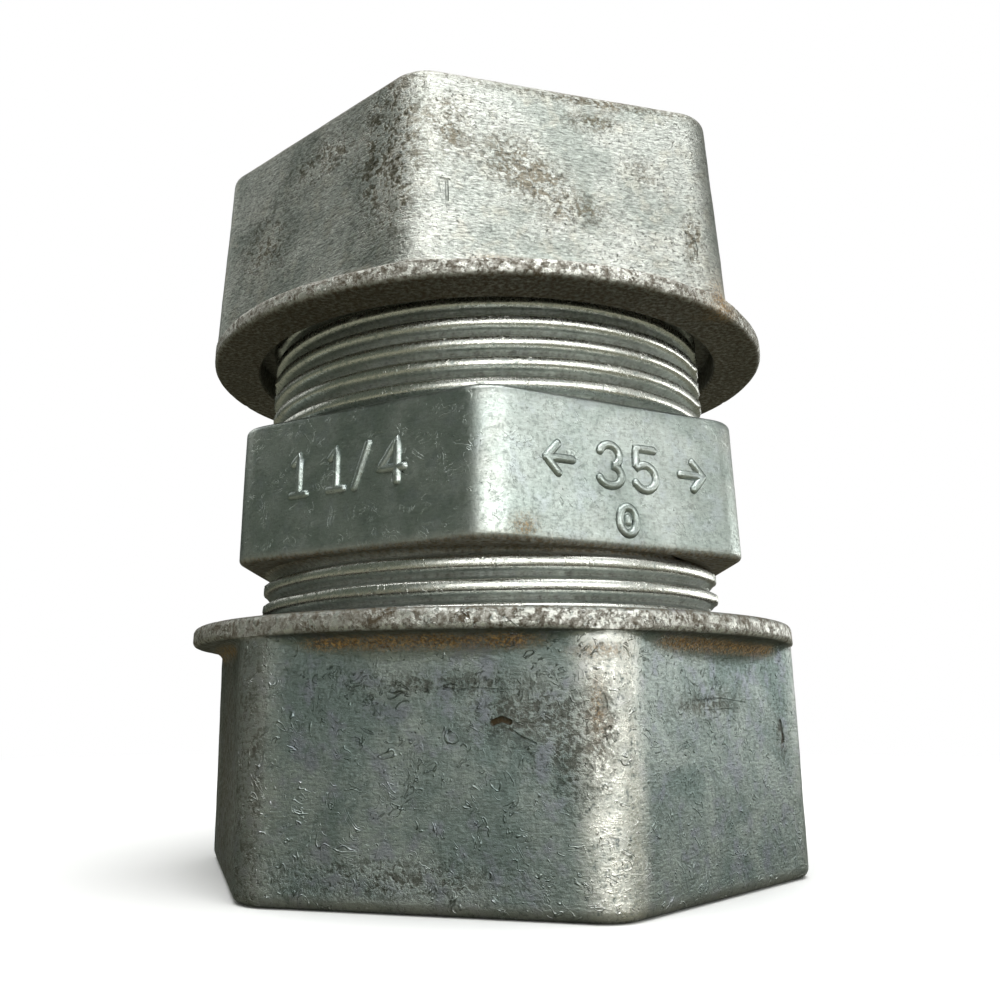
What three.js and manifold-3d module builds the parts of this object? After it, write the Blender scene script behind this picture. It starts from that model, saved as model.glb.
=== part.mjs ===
// Compression coupling for 1 1/4 inch thin-wall electrical conduit, in millimetres, +Z along the conduit.
// A die-cast body with a hexagonal middle carries a male thread at each end. A flanged hexagonal nut runs
// on each thread and presses a split steel ring into the body's tapered mouth, where it grips the conduit.
// The lower nut's end face stands on Z = 0, and the conduit axis is the Z axis.
import * as THREE from 'three';
import { mergeVertices } from 'three/addons/utils/BufferGeometryUtils.js';
import Module from 'manifold-3d';

const wasm = await Module();
wasm.setup();

// Conduit
const CONDUIT_RADIUS = 38.35 / 2;
const CONDUIT_INSIDE_RADIUS = 35.05 / 2;
const SOCKET_RADIUS = CONDUIT_RADIUS + 0.25;

// Thread: 14 turns to the inch, right-hand, one helix from end to end of the body
const PITCH = 25.4 / 14;
const CREST_RADIUS = 21.6;
const ROOT_RADIUS = 20.65;
const THREAD_CLEARANCE = 0.3;
const CREST_WIDTH = 0.2 * PITCH;
const FLANK_WIDTH = 0.3 * PITCH;
const STEPS_PER_TURN = 36;

// Nuts, measured from the end face that the conduit enters
const NUT_HEX_LENGTH = 18.6;
const FLANGE_THICKNESS = 1.6;
const NUT_LENGTH = NUT_HEX_LENGTH + FLANGE_THICKNESS;
const NUT_APOTHEM_AT_FLANGE = 24.36;
const NUT_APOTHEM_AT_END = 23.84;
const NUT_CORNER_RADIUS = 3.6;
const NUT_EDGE_CHAMFER = 0.5;
const FLANGE_RADIUS = 27.6;
const FLANGE_ROUND = 0.5;
const END_HOLE_LENGTH = 2.0;
const SEAT_RADIUS = 20.6;
const SEAT_END = 4.0;
const RELIEF_START = 4.8;
const NUT_THREAD_START = 6.6;
const NUT_MOUTH_RADIUS = 23.2;
const NUT_MOUTH_DEPTH = 2.2;
const NUT_MOUTH_TAPER = 0.15;
const LOWER_NUT_TURN = 0.3184;
const UPPER_NUT_TURN = -0.2088;

// Body
const BODY_HEX_LENGTH = 12.2;
const BODY_APOTHEM = 21.98;
const BODY_CORNER_RADIUS = 3.8;
const BODY_EDGE_CHAMFER = 0.45;
const THREADED_LENGTH = 17;
const THREAD_END_CHAMFER = 0.95;
const MOUTH_RADIUS = 20.4;
const MOUTH_TAPER_LENGTH = 2.6;
const STOP_LENGTH = 2;

// Thread left showing between each nut and the body's hexagon, as the coupling stands here
const LOWER_THREAD_SHOWING = 5.1;
const UPPER_THREAD_SHOWING = 7.9;

// Split rings, measured from the nut's end face
const RING_START = 2.9;
const RING_END = 7.9;
const RING_INSIDE_RADIUS = 19.3;
const RING_OUTSIDE_RADIUS = 20.3;
const RING_EDGE_RADIUS = 19.65;
const RING_SEAT_BEVEL = 1.1;
const RING_MOUTH_BEVEL = 1.7;
const RING_GAP = 2.4;

// Heights along the conduit
const BODY_HEX_BOTTOM = NUT_LENGTH + LOWER_THREAD_SHOWING;
const BODY_HEX_TOP = BODY_HEX_BOTTOM + BODY_HEX_LENGTH;
const BODY_BOTTOM = BODY_HEX_BOTTOM - THREADED_LENGTH;
const BODY_TOP = BODY_HEX_TOP + THREADED_LENGTH;
const OVERALL_LENGTH = BODY_HEX_TOP + UPPER_THREAD_SHOWING + NUT_LENGTH;

const HEX_SIDES = 6;
const CORNER_STEPS = 5;

// Solids and geometries

function solidOf(geometry) {
  const bare = geometry.clone();
  bare.deleteAttribute('normal');
  bare.deleteAttribute('uv');
  const merged = mergeVertices(bare, 1e-4);
  const mesh = new wasm.Mesh({
    numProp: 3,
    vertProperties: merged.attributes.position.array,
    triVerts: new Uint32Array(merged.index.array),
  });
  return new wasm.Manifold(mesh);
}

function geometryOf(solid) {
  const mesh = solid.getMesh();
  const geometry = new THREE.BufferGeometry();
  geometry.setAttribute('position', new THREE.BufferAttribute(mesh.vertProperties, 3));
  geometry.setIndex(new THREE.BufferAttribute(mesh.triVerts, 1));
  geometry.computeVertexNormals();
  return geometry;
}

// A solid of revolution about Z from [radius, height] points, listed upwards along its outside.
function turned(profile) {
  const points = profile.map(([radius, height]) => new THREE.Vector2(radius, height));
  return solidOf(new THREE.LatheGeometry(points, STEPS_PER_TURN).rotateX(Math.PI / 2));
}

// A rounded hexagon's outline at one height, with a corner on -Y when turn is 0.
function hexagonRing({ height, apothem, cornerRadius }, turn) {
  const ring = [];
  const cornerCentre = (apothem - cornerRadius) / Math.cos(Math.PI / HEX_SIDES);
  for (let corner = 0; corner < HEX_SIDES; corner += 1) {
    const toCorner = turn - Math.PI / 2 + (corner * 2 * Math.PI) / HEX_SIDES;
    for (let step = 0; step <= CORNER_STEPS; step += 1) {
      const angle = toCorner + ((step / CORNER_STEPS - 0.5) * 2 * Math.PI) / HEX_SIDES;
      ring.push([
        cornerCentre * Math.cos(toCorner) + cornerRadius * Math.cos(angle),
        cornerCentre * Math.sin(toCorner) + cornerRadius * Math.sin(angle),
        height,
      ]);
    }
  }
  return ring;
}

// A closed solid through rings of equal length, listed upwards, with a flat cap on the first and last.
function loft(rings) {
  const count = rings[0].length;
  const positions = rings.flat(2);
  const triangles = [];
  for (let level = 0; level + 1 < rings.length; level += 1) {
    for (let side = 0; side < count; side += 1) {
      const next = (side + 1) % count;
      const below = level * count;
      const above = below + count;
      triangles.push(below + side, below + next, above + next);
      triangles.push(below + side, above + next, above + side);
    }
  }
  const top = (rings.length - 1) * count;
  for (let side = 1; side + 1 < count; side += 1) {
    triangles.push(0, side + 1, side);
    triangles.push(top, top + side, top + side + 1);
  }
  const geometry = new THREE.BufferGeometry();
  geometry.setAttribute('position', new THREE.Float32BufferAttribute(positions, 3));
  geometry.setIndex(triangles);
  return solidOf(geometry);
}

function hexagonalPrism(sections, turn) {
  return loft(sections.map((section) => hexagonRing(section, turn)));
}

// A rod with a helical thread on its outside, at least as long as from bottom to top. One column of
// points stands at each step of the turn, and the last column joins the first one pitch higher.
function threadedRod(bottom, top, growth) {
  const profile = [
    [ROOT_RADIUS + growth, 0],
    [ROOT_RADIUS + growth, PITCH - CREST_WIDTH - 2 * FLANK_WIDTH],
    [CREST_RADIUS + growth, PITCH - CREST_WIDTH - FLANK_WIDTH],
    [CREST_RADIUS + growth, PITCH - FLANK_WIDTH],
  ];
  const firstTurn = Math.floor(bottom / PITCH) - 2;
  const turns = Math.ceil(top / PITCH) + 2 - firstTurn;
  const columnLength = profile.length * turns;
  const positions = [];
  for (let step = 0; step < STEPS_PER_TURN; step += 1) {
    const angle = (step / STEPS_PER_TURN) * 2 * Math.PI;
    for (let point = 0; point < columnLength; point += 1) {
      const [radius, offset] = profile[point % profile.length];
      const turn = firstTurn + Math.floor(point / profile.length);
      const height = offset + (turn + step / STEPS_PER_TURN) * PITCH;
      positions.push(radius * Math.cos(angle), radius * Math.sin(angle), height);
    }
  }
  const corner = (step, point) => step * columnLength + point;
  const triangles = [];
  const last = STEPS_PER_TURN - 1;
  for (let step = 0; step < STEPS_PER_TURN; step += 1) {
    const nextStep = step === last ? 0 : step + 1;
    const shift = step === last ? profile.length : 0;
    for (let point = 0; point + 1 + shift < columnLength; point += 1) {
      const here = corner(step, point);
      const beside = corner(nextStep, point + shift);
      triangles.push(here, beside, beside + 1);
      triangles.push(here, beside + 1, here + 1);
    }
  }
  const bottomCentre = positions.length / 3;
  positions.push(0, 0, firstTurn * PITCH);
  const topCentre = positions.length / 3;
  positions.push(0, 0, (firstTurn + turns + 1) * PITCH);
  const topEdge = [];
  const bottomEdge = [];
  for (let step = 0; step < STEPS_PER_TURN; step += 1) {
    topEdge.push(corner(step, columnLength - 1));
    bottomEdge.push(corner(step, 0));
  }
  for (let point = 1; point <= profile.length; point += 1) {
    topEdge.push(corner(last, columnLength - 1 - point));
    bottomEdge.push(corner(0, profile.length - point + 1));
  }
  for (let edge = 0; edge < topEdge.length; edge += 1) {
    const next = (edge + 1) % topEdge.length;
    triangles.push(topCentre, topEdge[edge], topEdge[next]);
    triangles.push(bottomCentre, bottomEdge[next], bottomEdge[edge]);
  }
  const geometry = new THREE.BufferGeometry();
  geometry.setAttribute('position', new THREE.Float32BufferAttribute(positions, 3));
  geometry.setIndex(triangles);
  return solidOf(geometry);
}

// Parts

function couplingBody() {
  const outside = turned([
    [0, BODY_BOTTOM],
    [ROOT_RADIUS, BODY_BOTTOM],
    [ROOT_RADIUS + THREAD_END_CHAMFER, BODY_BOTTOM + THREAD_END_CHAMFER],
    [CREST_RADIUS + 1, BODY_HEX_BOTTOM],
    [CREST_RADIUS + 1, BODY_HEX_TOP],
    [ROOT_RADIUS + THREAD_END_CHAMFER, BODY_TOP - THREAD_END_CHAMFER],
    [ROOT_RADIUS, BODY_TOP],
    [0, BODY_TOP],
  ]);
  const full = { apothem: BODY_APOTHEM, cornerRadius: BODY_CORNER_RADIUS };
  const narrow = { apothem: BODY_APOTHEM - BODY_EDGE_CHAMFER, cornerRadius: BODY_CORNER_RADIUS };
  const hexagon = hexagonalPrism(
    [
      { height: BODY_HEX_BOTTOM, ...narrow },
      { height: BODY_HEX_BOTTOM + BODY_EDGE_CHAMFER, ...full },
      { height: BODY_HEX_TOP - BODY_EDGE_CHAMFER, ...full },
      { height: BODY_HEX_TOP, ...narrow },
    ],
    0,
  );
  const middle = (BODY_HEX_BOTTOM + BODY_HEX_TOP) / 2;
  const bore = turned([
    [0, BODY_BOTTOM - 1],
    [MOUTH_RADIUS, BODY_BOTTOM - 1],
    [MOUTH_RADIUS, BODY_BOTTOM],
    [SOCKET_RADIUS, BODY_BOTTOM + MOUTH_TAPER_LENGTH],
    [SOCKET_RADIUS, middle - STOP_LENGTH / 2],
    [CONDUIT_INSIDE_RADIUS, middle - STOP_LENGTH / 2],
    [CONDUIT_INSIDE_RADIUS, middle + STOP_LENGTH / 2],
    [SOCKET_RADIUS, middle + STOP_LENGTH / 2],
    [SOCKET_RADIUS, BODY_TOP - MOUTH_TAPER_LENGTH],
    [MOUTH_RADIUS, BODY_TOP],
    [MOUTH_RADIUS, BODY_TOP + 1],
    [0, BODY_TOP + 1],
  ]);
  const threads = threadedRod(BODY_BOTTOM, BODY_TOP, 0).intersect(outside);
  return threads.add(hexagon).subtract(bore);
}

// A nut's heights are counted from its end face, and heightOf turns them into heights on the coupling.
function orderedUpwards(profile, heightOf) {
  const placed = profile.map(([radius, depth]) => [radius, heightOf(depth)]);
  return placed[0][1] < placed[placed.length - 1][1] ? placed : placed.reverse();
}

function compressionNut(heightOf, turn) {
  const corner = NUT_CORNER_RADIUS;
  const sections = [
    { height: heightOf(0), apothem: NUT_APOTHEM_AT_END - NUT_EDGE_CHAMFER, cornerRadius: corner },
    { height: heightOf(NUT_EDGE_CHAMFER), apothem: NUT_APOTHEM_AT_END, cornerRadius: corner },
    { height: heightOf(NUT_LENGTH - FLANGE_ROUND), apothem: NUT_APOTHEM_AT_FLANGE, cornerRadius: corner },
  ];
  sections.sort((one, other) => one.height - other.height);
  const hexagon = hexagonalPrism(sections, turn);
  const flange = turned(orderedUpwards([
    [0, NUT_HEX_LENGTH],
    [FLANGE_RADIUS - FLANGE_ROUND, NUT_HEX_LENGTH],
    [FLANGE_RADIUS, NUT_HEX_LENGTH + FLANGE_ROUND],
    [FLANGE_RADIUS, NUT_LENGTH - FLANGE_ROUND],
    [FLANGE_RADIUS - FLANGE_ROUND, NUT_LENGTH],
    [0, NUT_LENGTH],
  ], heightOf));
  const threadRootRadius = CREST_RADIUS + THREAD_CLEARANCE;
  const threadCrestRadius = ROOT_RADIUS + THREAD_CLEARANCE;
  const hollow = turned(orderedUpwards([
    [0, -1],
    [SOCKET_RADIUS, -1],
    [SOCKET_RADIUS, END_HOLE_LENGTH],
    [SEAT_RADIUS, SEAT_END],
    [threadRootRadius, RELIEF_START],
    [threadRootRadius, NUT_THREAD_START],
    [threadCrestRadius, NUT_THREAD_START],
    [threadCrestRadius, NUT_LENGTH - NUT_MOUTH_DEPTH],
    [NUT_MOUTH_RADIUS - NUT_MOUTH_TAPER, NUT_LENGTH - NUT_MOUTH_DEPTH],
    [NUT_MOUTH_RADIUS, NUT_LENGTH],
    [NUT_MOUTH_RADIUS, NUT_LENGTH + 1],
    [0, NUT_LENGTH + 1],
  ], heightOf));
  const threadedStretch = turned(orderedUpwards([
    [0, NUT_THREAD_START],
    [NUT_MOUTH_RADIUS, NUT_THREAD_START],
    [NUT_MOUTH_RADIUS, NUT_LENGTH],
    [0, NUT_LENGTH],
  ], heightOf));
  const ends = [heightOf(0), heightOf(NUT_LENGTH)].sort((one, other) => one - other);
  const thread = threadedRod(ends[0], ends[1], THREAD_CLEARANCE).intersect(threadedStretch);
  return hexagon.add(flange).subtract(hollow.add(thread));
}

function compressionRing(heightOf) {
  const profile = orderedUpwards([
    [RING_INSIDE_RADIUS, RING_START],
    [RING_EDGE_RADIUS, RING_START],
    [RING_OUTSIDE_RADIUS, RING_START + RING_SEAT_BEVEL],
    [RING_OUTSIDE_RADIUS, RING_END - RING_MOUTH_BEVEL],
    [RING_EDGE_RADIUS, RING_END],
    [RING_INSIDE_RADIUS, RING_END],
  ], heightOf);
  const outside = turned([[0, profile[0][1]], ...profile.slice(1, -1), [0, profile.at(-1)[1]]]);
  const inside = turned([
    [0, profile[0][1] - 1],
    [RING_INSIDE_RADIUS, profile[0][1] - 1],
    [RING_INSIDE_RADIUS, profile.at(-1)[1] + 1],
    [0, profile.at(-1)[1] + 1],
  ]);
  const middle = (profile[0][1] + profile.at(-1)[1]) / 2;
  const split = new THREE.BoxGeometry(RING_GAP, 2 * RING_OUTSIDE_RADIUS, 2 * (RING_END - RING_START));
  split.translate(0, RING_OUTSIDE_RADIUS, middle);
  return outside.subtract(inside).subtract(solidOf(split));
}

const zinc = new THREE.MeshStandardMaterial({ color: 0x8f9692, roughness: 0.45, metalness: 1 });
const brightZinc = new THREE.MeshStandardMaterial({ color: 0xa8aeac, roughness: 0.38, metalness: 1 });
const springSteel = new THREE.MeshStandardMaterial({ color: 0x74777a, roughness: 0.35, metalness: 1 });

const fromBottom = (depth) => depth;
const fromTop = (depth) => OVERALL_LENGTH - depth;

const coupling = new THREE.Group();

function addPart(name, solid, material) {
  const part = new THREE.Mesh(geometryOf(solid), material);
  part.name = name;
  coupling.add(part);
}

addPart('coupling_body', couplingBody(), brightZinc);
addPart('lower_compression_nut', compressionNut(fromBottom, LOWER_NUT_TURN), zinc);
addPart('upper_compression_nut', compressionNut(fromTop, UPPER_NUT_TURN), brightZinc);
addPart('lower_compression_ring', compressionRing(fromBottom), springSteel);
addPart('upper_compression_ring', compressionRing(fromTop), springSteel);

export default coupling;
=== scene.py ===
"""Compression coupling for thin-wall conduit: the looks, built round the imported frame.

Shapes are worked out in millimetres and turned into metres when a mesh is made. +Z runs along the
conduit, the lower nut's end face stands on the floor, and each piece is one closed mesh.
"""

import math
from collections import namedtuple

import bpy
import numpy as np
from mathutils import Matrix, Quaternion, Vector, noise


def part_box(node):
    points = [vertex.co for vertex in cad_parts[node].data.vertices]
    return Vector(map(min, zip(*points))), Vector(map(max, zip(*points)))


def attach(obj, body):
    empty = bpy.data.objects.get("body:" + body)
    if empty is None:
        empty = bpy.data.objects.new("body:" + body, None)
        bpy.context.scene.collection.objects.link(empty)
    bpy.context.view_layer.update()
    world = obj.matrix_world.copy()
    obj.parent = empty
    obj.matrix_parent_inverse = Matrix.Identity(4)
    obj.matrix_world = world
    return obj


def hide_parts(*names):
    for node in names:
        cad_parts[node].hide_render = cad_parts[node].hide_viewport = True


MM = 0.001
TURN = 2 * math.pi

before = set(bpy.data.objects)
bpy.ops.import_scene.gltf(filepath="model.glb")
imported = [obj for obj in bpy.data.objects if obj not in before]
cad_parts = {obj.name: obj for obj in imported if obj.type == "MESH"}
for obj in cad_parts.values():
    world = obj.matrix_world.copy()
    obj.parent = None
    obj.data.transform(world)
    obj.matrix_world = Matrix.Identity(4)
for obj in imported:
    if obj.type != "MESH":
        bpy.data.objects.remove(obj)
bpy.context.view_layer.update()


def millimetres(node):
    low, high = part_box(node)
    return low / MM, high / MM


# -------- sizes, in millimetres

lower_nut_low, lower_nut_high = millimetres("lower_compression_nut")
body_low, body_high = millimetres("coupling_body")
ring_low, ring_high = millimetres("lower_compression_ring")

NUT_LENGTH = lower_nut_high.z - lower_nut_low.z
FLANGE_RADIUS = lower_nut_high.x
FLANGE_THICKNESS = 1.6
FLANGE_ROUND = 0.5
FLANGE_FILLET = 1.9
NUT_APOTHEM_AT_FLANGE = 24.36
NUT_APOTHEM_AT_END = 23.84
NUT_CORNER_RADIUS = 3.75
NUT_END_ROUND = 0.85
NUT_MOUTH_RADIUS = 23.2
NUT_MOUTH_DEPTH = 2.2
NUT_MOUTH_TAPER = 0.15
NUT_HOLE_DEPTH = 2.0
NUT_SEAT_RADIUS = 20.6
NUT_SEAT_DEPTH = 4.0
NUT_RELIEF_START = 4.8
NUT_RELIEF_END = 7.6
NUT_THREAD_START = 4.9

PITCH = 25.4 / 14
CREST_RADIUS = 21.6
ROOT_RADIUS = 20.65
THREAD_CLEARANCE = 0.3
THREAD_FLAT_DISTANCE = 20.95
THREAD_FLAT_FILL = 20.88
THREAD_BURR = 0.19

SOCKET_RADIUS = 19.425
CONDUIT_INSIDE_RADIUS = 17.525
BODY_APOTHEM = body_high.x
BODY_CORNER_RADIUS = 3.8
BODY_EDGE_ROUND = 0.5
BODY_HEX_LENGTH = 12.2
BODY_MIDDLE = (body_low.z + body_high.z) / 2
BODY_HEX_BOTTOM = BODY_MIDDLE - BODY_HEX_LENGTH / 2
BODY_HEX_TOP = BODY_MIDDLE + BODY_HEX_LENGTH / 2
BODY_THREAD_TAPER = 1.3
MOUTH_RADIUS = 20.4
MOUTH_TAPER_LENGTH = 2.6
STOP_LENGTH = 2.0
STOP_BEVEL = 0.3

RING_INSIDE_RADIUS = 19.3
RING_OUTSIDE_RADIUS = 20.3
RING_EDGE_RADIUS = 19.65
RING_SEAT_BEVEL = 1.25
RING_MOUTH_BEVEL = 1.85
RING_GAP = 2.4

OVERALL_LENGTH = millimetres("upper_compression_nut")[1].z

# How far each nut is turned from a corner on -Y, in radians, and which way the sides and corners face
# before that turn. The camera stands on -Y.
LOWER_NUT_TURN = 0.3184
UPPER_NUT_TURN = -0.2088
RIGHT_FLAT = math.radians(-60)
NEAR_CORNER = math.radians(-90)
LEFT_FLAT = math.radians(-120)
FAR_LEFT_FLAT = math.radians(-180)


# -------- closed meshes

def placed(name, data):
    thing = bpy.data.objects.new(name, data)
    bpy.context.scene.collection.objects.link(thing)
    return thing


def piece_from(name, vertices, faces):
    mesh = bpy.data.meshes.new(name)
    mesh.from_pydata((np.asarray(vertices) * MM).tolist(), [], faces)
    mesh.update()
    return placed(name, mesh)


def loft(name, rings):
    """A closed mesh through rings of equal length, listed upwards and each counter-clockwise."""
    rows, count = len(rings), len(rings[0])
    vertices = np.concatenate(rings)
    side = np.arange(count)
    beside = (side + 1) % count
    faces = []
    for row in range(rows - 1):
        below, above = row * count, (row + 1) * count
        faces += np.stack([below + side, below + beside, above + beside, above + side], 1).tolist()
    faces.append(side[::-1].tolist())
    faces.append(((rows - 1) * count + side).tolist())
    return piece_from(name, vertices, faces)


def turned(name, profile, steps=144):
    """A closed solid of revolution from (radius, height) points, listed upwards."""
    angles = np.arange(steps) / steps * TURN
    ring = np.stack([np.cos(angles), np.sin(angles)], 1)
    rings = [np.column_stack([ring * radius, np.full(steps, height)]) for radius, height in profile]
    return loft(name, rings)


def combine(target, tool, operation):
    """Cuts or joins a closed mesh with another one, which is used up."""
    change = target.modifiers.new("combine", "BOOLEAN")
    change.object = tool
    change.operation = operation
    change.solver = "MANIFOLD"
    depsgraph = bpy.context.evaluated_depsgraph_get()
    made = bpy.data.meshes.new_from_object(target.evaluated_get(depsgraph))
    target.modifiers.clear()
    old = target.data
    target.data = made
    made.name = target.name
    bpy.data.meshes.remove(old)
    bpy.data.objects.remove(tool)


def vertex_array(piece):
    positions = np.empty(len(piece.data.vertices) * 3)
    piece.data.vertices.foreach_get("co", positions)
    return positions.reshape(-1, 3) / MM


def set_vertex_array(piece, positions):
    piece.data.vertices.foreach_set("co", (positions * MM).ravel())
    piece.data.update()


def shade_smooth(piece, sharp_degrees):
    mesh = piece.data
    mesh.polygons.foreach_set("use_smooth", np.ones(len(mesh.polygons), bool))
    mesh.set_sharp_from_angle(angle=math.radians(sharp_degrees))


def pushed_out(positions, amounts):
    """Moves each point away from the Z axis by its own amount."""
    outward = positions * np.array([1, 1, 0])
    outward /= np.maximum(np.linalg.norm(outward, axis=1), 1e-6)[:, None]
    return positions + outward * amounts[:, None]


def radii(positions):
    return np.linalg.norm(positions[:, :2], axis=1)


def smooth_step(low, high, values):
    share = np.clip((values - low) / (high - low), 0, 1)
    return share * share * (3 - 2 * share)


def noise_field(positions, wavelength, seed, depth=2):
    """Smooth noise from about -1 to 1 at each point, with the given wavelength in millimetres."""
    shift = Vector((seed * 17.3, seed * 5.1, seed * 9.7))
    return np.array([
        noise.fractal(Vector(point) / wavelength + shift, 1.0, 2.0, depth) for point in positions
    ])


# -------- hexagons and threads

HEX_SIDES = 6


def hexagon(apothem, corner_radius, turn, flat_steps, corner_steps):
    """A rounded hexagon's outline, with a corner on -Y when turn is 0."""
    corner_centre = (apothem - corner_radius) / math.cos(math.pi / HEX_SIDES)
    outline = []
    for corner in range(HEX_SIDES):
        toward = turn - math.pi / 2 + corner * TURN / HEX_SIDES
        centre = corner_centre * np.array([math.cos(toward), math.sin(toward)])
        arc = toward + (np.arange(corner_steps + 1) / corner_steps - 0.5) * TURN / HEX_SIDES
        rounded = centre + corner_radius * np.stack([np.cos(arc), np.sin(arc)], 1)
        following = toward + TURN / HEX_SIDES
        next_centre = corner_centre * np.array([math.cos(following), math.sin(following)])
        facing = arc[-1]
        next_start = next_centre + corner_radius * np.array([math.cos(facing), math.sin(facing)])
        share = (np.arange(1, flat_steps) / flat_steps)[:, None]
        outline += [rounded, rounded[-1] * (1 - share) + next_start * share]
    return np.concatenate(outline)


def thread_profile(crest_width, root_width, depth, rounding):
    """(rise above the root, height) points over one pitch, with rounded crests and roots."""
    flank = (PITCH - crest_width - root_width) / 2
    crest_start = root_width + flank
    crest_end = crest_start + crest_width
    corners = [
        (0.0, 0.0), (0.0, root_width), (depth, crest_start), (depth, crest_end), (0.0, PITCH),
    ]
    points = []
    for index in range(1, len(corners)):
        (low_r, low_z), (high_r, high_z) = corners[index - 1], corners[index]
        reach = rounding / max(math.hypot(high_r - low_r, high_z - low_z), 1e-6)
        for share in (reach, 0.5, 1 - reach):
            points.append((low_r + (high_r - low_r) * share, low_z + (high_z - low_z) * share))
    return points


def threaded_rod(name, bottom, top, growth, steps, crest=0.34, root=0.1, flats=False):
    """A rod with a helical thread, whose spiral ends lie within one pitch past bottom and top.

    growth widens the whole thread. crest and root are the widths of its flat parts, in pitches.
    """
    profile = thread_profile(crest * PITCH, root * PITCH, CREST_RADIUS - ROOT_RADIUS, 0.1)
    per_turn = len(profile)
    first = math.ceil(bottom / PITCH)
    turns = math.floor(top / PITCH) - first
    length = per_turn * turns
    index = np.arange(length)
    depths = np.array([point[0] for point in profile])[index % per_turn]
    offsets = np.array([point[1] for point in profile])[index % per_turn]
    turn_starts = (first + index // per_turn) * PITCH
    columns = []
    for step in range(steps):
        angle = step / steps * TURN
        radius = ROOT_RADIUS + growth + depths
        if flats:
            radius = flattened(radius, depths, angle)
        height = offsets + turn_starts + step / steps * PITCH
        columns.append(np.stack([radius * math.cos(angle), radius * math.sin(angle), height], 1))
    faces = []
    last = steps - 1
    for step in range(steps):
        shift = per_turn if step == last else 0
        beside_column = 0 if step == last else step + 1
        here = step * length + np.arange(length - 1 - shift)
        beside = beside_column * length + shift + np.arange(length - 1 - shift)
        faces += np.stack([here, beside, beside + 1, here + 1], 1).tolist()
    vertices = np.concatenate(columns + [[[0, 0, bottom], [0, 0, top + PITCH]]])
    bottom_centre, top_centre = len(vertices) - 2, len(vertices) - 1
    top_edge = [step * length + length - 1 for step in range(steps)]
    top_edge += [last * length + length - 1 - point for point in range(1, per_turn + 1)]
    bottom_edge = [step * length for step in range(steps)]
    bottom_edge += [per_turn - point + 1 for point in range(1, per_turn + 1)]
    for edge in range(len(top_edge)):
        following = (edge + 1) % len(top_edge)
        faces.append([top_centre, top_edge[edge], top_edge[following]])
        faces.append([bottom_centre, bottom_edge[following], bottom_edge[edge]])
    return piece_from(name, vertices, faces)


# How far round from the parting line the cut crests and filled grooves end, where the burr is and how
# wide it is, all in radians.
FLAT_END = math.radians(17), math.radians(21)
BURR_PLACE, BURR_SPREAD = math.radians(20), math.radians(1.3)


def flattened(radius, depths, angle):
    """The male thread along the die's parting line, at both ends of the X axis.

    There the crests are cut flat and the grooves are partly filled, with burrs at the edges.
    """
    off_line = min(abs(math.remainder(angle, TURN)), abs(math.remainder(angle - math.pi, TURN)))
    edge = math.acos(THREAD_FLAT_DISTANCE / CREST_RADIUS)
    flat = THREAD_FLAT_DISTANCE / math.cos(min(off_line, edge))
    fill = 1 - smooth_step(*FLAT_END, off_line)
    shaped = radius + fill * (np.maximum(radius, THREAD_FLAT_FILL) - radius)
    burr = THREAD_BURR * math.exp(-(((off_line - BURR_PLACE) / BURR_SPREAD) ** 2))
    ragged = np.abs(np.sin(np.arange(len(depths)) * 0.37 + 5 * angle))
    wave = 0.02 * math.sin(9 * angle) * math.sin(4 * angle + 1)
    on_crest = depths > 0.9
    return np.minimum(shaped, flat) + on_crest * (burr * ragged + wave)


# -------- nuts

NUT_FLAT_STEPS = 70
NUT_CORNER_STEPS = 12
NUT_WALL_ROWS = 50
NUT_ROUND_STEPS = 6
NUT_THREAD_STEPS = 144
# The loops across a nut's flat faces: shares of the end face's outline, and radii of the mouth's face.
END_FACE_SHARES = (0.80, 0.86, 0.92, 0.97)
MOUTH_FACE_RADII = (26.2, 25.4, 24.6, 23.8, 22.6)


def nut_apothem(depth):
    """How far a nut's flats are from its axis, at a depth in from its end face."""
    share = depth / NUT_LENGTH
    return NUT_APOTHEM_AT_END * (1 - share) + NUT_APOTHEM_AT_FLANGE * share


def quarter_turn(steps, first=0):
    """The sine and cosine at each step of a quarter turn, for rounding an edge."""
    angles = [step / steps * math.pi / 2 for step in range(first, steps + 1)]
    return [(math.sin(angle), math.cos(angle)) for angle in angles]


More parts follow.
